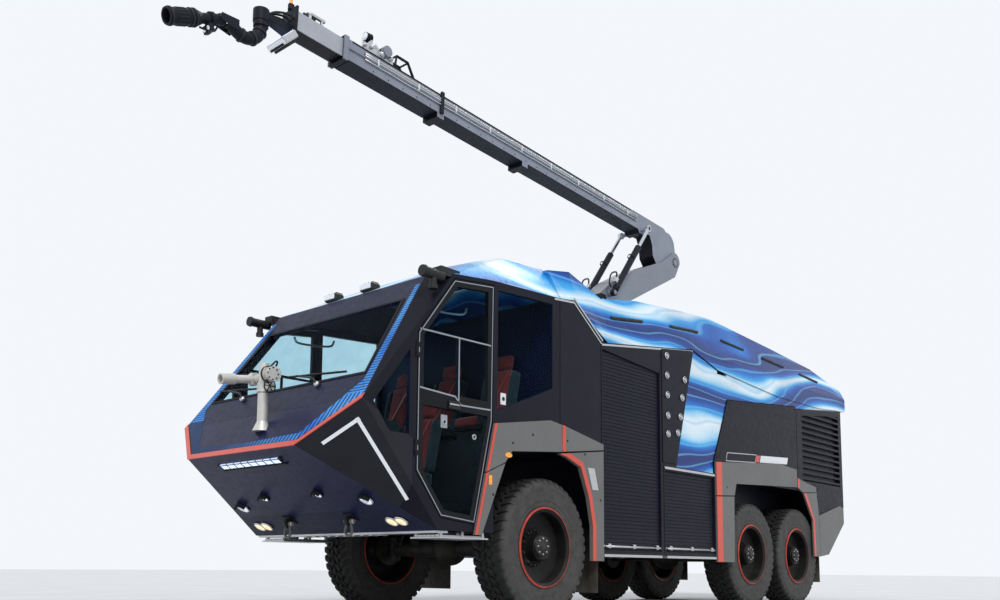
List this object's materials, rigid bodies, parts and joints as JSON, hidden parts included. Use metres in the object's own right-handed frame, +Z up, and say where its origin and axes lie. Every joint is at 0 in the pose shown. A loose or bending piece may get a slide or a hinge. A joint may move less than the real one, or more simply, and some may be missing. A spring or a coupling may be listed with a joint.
{
  "type": "airport fire truck",
  "caption": "Airport crash tender with a raked glazed cab, slatted side lockers, grey fenders with red edges, and a folding water boom with a nozzle raised over its roof.",
  "frame": {"origin": "centre of the footprint box, on the ground", "axes": "+X forward, +Y to the left side, +Z up"},
  "size_m": [12.2762, 3, 6.498],
  "materials": {
    "black": "semi-gloss",
    "dark": "semi-gloss",
    "blue": "gloss",
    "grey": "satin",
    "red": "gloss",
    "silver": "satin",
    "steel": "satin",
    "chrome": "polished",
    "smoke": "tinted",
    "lamp": "clear",
    "fabric": "matt",
    "plastic": "matt",
    "tyre": "matt",
    "rubber": "matt",
    "boom_grey": "satin"
  },
  "bodies": {
    "chassis": {"frame_rails": "steel", "axles": "steel", "springs": "steel", "engine_block": "steel", "cab_floor": "plastic", "cab_shell": "dark", "nose_panel": "black", "cab_roof": "blue", "windscreen": "smoke", "side_windows": "smoke", "seats": "fabric", "dashboard": "plastic", "nose_trim": "red", "front_lamps": "lamp", "cab_steps": "silver", "tow_lugs": "steel", "front_fenders": "grey", "rear_fenders": "grey", "fender_trim": "red", "body_core": "black", "side_panels": "dark", "shutters": "black", "button_panels": "black", "louvre_panels": "black", "body_upper": "blue", "sill_rails": "silver", "roof_handles": "plastic", "mud_flaps": "rubber", "camera_pods": "plastic", "monitor_base": "silver", "turret_base": "black"},
    "knuckle_left": {"knuckle_left": "steel"},
    "knuckle_right": {"knuckle_right": "steel"},
    "wheel_fl": {"tyre_fl": "tyre", "rim_fl": "black"},
    "wheel_fr": {"tyre_fr": "tyre", "rim_fr": "black"},
    "wheel_ml": {"tyre_ml": "tyre", "rim_ml": "black"},
    "wheel_mr": {"tyre_mr": "tyre", "rim_mr": "black"},
    "wheel_rl": {"tyre_rl": "tyre", "rim_rl": "black"},
    "wheel_rr": {"tyre_rr": "tyre", "rim_rr": "black"},
    "door_left": {"door_left": "dark", "door_glass_left": "smoke"},
    "door_right": {"door_right": "dark", "door_glass_right": "smoke"},
    "turret": {"turret": "black"},
    "lower_arm": {"lower_arm": "boom_grey"},
    "upper_boom": {"upper_boom": "boom_grey"},
    "inner_boom": {"inner_boom": "black", "boom_head": "black"},
    "lift_barrels": {"lift_barrels": "black"},
    "lift_rods": {"lift_rods": "chrome"},
    "tip_elbow": {"tip_elbow": "black"},
    "tip_nozzle": {"tip_nozzle": "black"},
    "monitor_head": {"monitor_head": "silver"},
    "monitor_nozzle": {"monitor_nozzle": "silver"}
  },
  "joints": [
    {"name": "steer_left", "type": "hinge", "parent": "chassis", "child": "knuckle_left", "pos_m": [2.28186, 0.96, 0.745], "axis": [0, 0, 1], "range_deg": [-30, 30]},
    {"name": "steer_right", "type": "hinge", "parent": "chassis", "child": "knuckle_right", "pos_m": [2.28186, -0.96, 0.745], "axis": [0, 0, 1], "range_deg": [-30, 30]},
    {"name": "spin_fl", "type": "hinge", "parent": "knuckle_left", "child": "wheel_fl", "pos_m": [2.28186, 1.225, 0.745], "axis": [0, 1, 0], "continuous": true},
    {"name": "spin_fr", "type": "hinge", "parent": "knuckle_right", "child": "wheel_fr", "pos_m": [2.28186, -1.225, 0.745], "axis": [0, 1, 0], "continuous": true},
    {"name": "spin_ml", "type": "hinge", "parent": "chassis", "child": "wheel_ml", "pos_m": [-2.51114, 1.225, 0.745], "axis": [0, 1, 0], "continuous": true},
    {"name": "spin_mr", "type": "hinge", "parent": "chassis", "child": "wheel_mr", "pos_m": [-2.51114, -1.225, 0.745], "axis": [0, 1, 0], "continuous": true},
    {"name": "spin_rl", "type": "hinge", "parent": "chassis", "child": "wheel_rl", "pos_m": [-4.06914, 1.225, 0.745], "axis": [0, 1, 0], "continuous": true},
    {"name": "spin_rr", "type": "hinge", "parent": "chassis", "child": "wheel_rr", "pos_m": [-4.06914, -1.225, 0.745], "axis": [0, 1, 0], "continuous": true},
    {"name": "door_left_swing", "type": "hinge", "parent": "chassis", "child": "door_left", "pos_m": [4.24986, 1.47, 1.8], "axis": [0, 0, -1], "range_deg": [0, 80]},
    {"name": "door_right_swing", "type": "hinge", "parent": "chassis", "child": "door_right", "pos_m": [4.24986, -1.47, 1.8], "axis": [0, 0, 1], "range_deg": [0, 80]},
    {"name": "turret_slew", "type": "hinge", "parent": "chassis", "child": "turret", "pos_m": [-0.21814, 0, 4.09], "axis": [0, 0, 1], "range_deg": [-30, 30]},
    {"name": "arm_lift", "type": "hinge", "parent": "turret", "child": "lower_arm", "pos_m": [-0.56814, 0, 4.32], "axis": [0, 1, 0], "range_deg": [-24, 28]},
    {"name": "boom_lift", "type": "hinge", "parent": "lower_arm", "child": "upper_boom", "pos_m": [-2.61814, 0, 5.42], "axis": [0, -1, 0], "range_deg": [-27.7, 32.3]},
    {"name": "barrel_swing", "type": "hinge", "parent": "lower_arm", "child": "lift_barrels", "pos_m": [-0.74921, 0, 4.47958], "axis": [0, -1, 0], "range_deg": [-7.73, 6.66]},
    {"name": "rod_slide", "type": "slide", "parent": "lift_barrels", "child": "lift_rods", "axis": [-0.6096, 0, 0.7927], "range_m": [-0.4125, 0.481]},
    {"name": "boom_extend", "type": "slide", "parent": "upper_boom", "child": "inner_boom", "axis": [0.9989, 0, 0.0466], "range_m": [0, 4]},
    {"name": "tip_pan", "type": "hinge", "parent": "inner_boom", "child": "tip_elbow", "pos_m": [5.10186, 0, 5.97], "axis": [0, 0, 1], "range_deg": [-90, 90]},
    {"name": "tip_tilt", "type": "hinge", "parent": "tip_elbow", "child": "tip_nozzle", "pos_m": [5.55186, 0, 5.79], "axis": [0, -1, 0], "range_deg": [-40, 60]},
    {"name": "monitor_pan", "type": "hinge", "parent": "chassis", "child": "monitor_head", "pos_m": [5.0113, 0.15, 2.175], "axis": [0, 0, 1], "range_deg": [-90, 90]},
    {"name": "monitor_tilt", "type": "hinge", "parent": "monitor_head", "child": "monitor_nozzle", "pos_m": [5.0113, 0.15, 2.325], "axis": [0, -1, 0], "range_deg": [-15, 60]}
  ],
  "couplings": [
    {"joint": "steer_right", "follows": "steer_left", "ratio": 1},
    {"joint": "boom_lift", "follows": "arm_lift", "ratio": 1.15},
    {"joint": "barrel_swing", "follows": "arm_lift", "ratio": -0.2691},
    {"joint": "rod_slide", "follows": "arm_lift", "m_per_rad": 0.9801}
  ]
}
